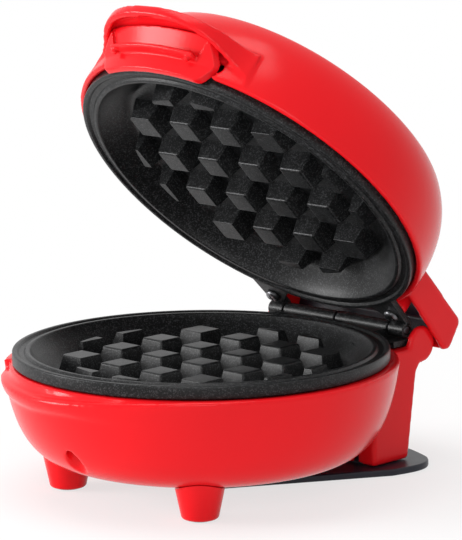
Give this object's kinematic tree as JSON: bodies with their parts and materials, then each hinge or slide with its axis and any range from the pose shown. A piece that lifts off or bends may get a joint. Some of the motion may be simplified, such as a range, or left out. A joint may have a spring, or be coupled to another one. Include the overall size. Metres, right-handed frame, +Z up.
{
  "type": "mini waffle maker",
  "caption": "Small round clamshell waffle maker with a hinged domed lid and visor handle, pegged non-stick plates, a bowl-shaped base on short feet and a fan-shaped heel plate.",
  "frame": {"origin": "on the table, under the middle of the cooking plates, on the underside of the heel plate", "axes": "+Z up; the hinge lies at +Y and its pin runs along X; the handle faces -Y"},
  "size_m": [0.139, 0.1655, 0.1711],
  "materials": {
    "red_plastic": "glossy moulded red plastic",
    "nonstick_plate": "cast aluminium with a fine-grained black non-stick coating",
    "black_plastic": "satin black moulded plastic",
    "rubber": "soft matt rubber",
    "screw_steel": "dark zinc-plated steel",
    "pin_steel": "dark plain steel",
    "element_steel": "heat-tinted steel tube",
    "sheet_metal": "aluminised pressed sheet",
    "white_insulator": "off-white moulded insulator",
    "lead_sleeve": "woven glass-fibre sleeve",
    "amber_lens": "clear orange moulded lens",
    "lamp_glass": "small neon lamp"
  },
  "bodies": {
    "base": {"base_shell": "red_plastic", "front_foot_left": "red_plastic", "front_foot_right": "red_plastic", "foot_pad_left": "rubber", "foot_pad_right": "rubber", "heel_plate": "black_plastic", "lower_cooking_plate": "nonstick_plate", "lower_heating_element": "element_steel", "lower_heat_shield": "sheet_metal", "lower_shield_screw_1": "screw_steel", "lower_shield_screw_2": "screw_steel", "lower_shield_screw_3": "screw_steel", "thermal_fuse": "white_insulator", "terminal_block": "white_insulator", "lead_left": "lead_sleeve", "lead_right": "lead_sleeve", "cord_gland": "black_plastic", "hinge_pin": "pin_steel", "plate_screw_front": "screw_steel", "plate_screw_rear_left": "screw_steel", "plate_screw_rear_right": "screw_steel", "heel_screw_front": "screw_steel", "heel_screw_left": "screw_steel", "heel_screw_right": "screw_steel"},
    "lid": {"lid_shell": "red_plastic", "handle_liner": "red_plastic", "hood_cover": "black_plastic", "upper_cooking_plate": "nonstick_plate", "upper_heating_element": "element_steel", "upper_heat_shield": "sheet_metal", "upper_shield_screw_1": "screw_steel", "upper_shield_screw_2": "screw_steel", "upper_shield_screw_3": "screw_steel", "thermostat": "sheet_metal", "indicator_lens": "amber_lens", "indicator_lamp": "lamp_glass", "arm_screw_left": "screw_steel", "arm_screw_right": "screw_steel", "liner_screw_left": "screw_steel", "liner_screw_right": "screw_steel"}
  },
  "joints": [
    {"name": "lid_hinge", "type": "hinge", "parent": "base", "child": "lid", "pos_m": [0, 0.0717, 0.049], "axis": [-1, 0, 0], "range_deg": [-45.5, 45]}
  ]
}
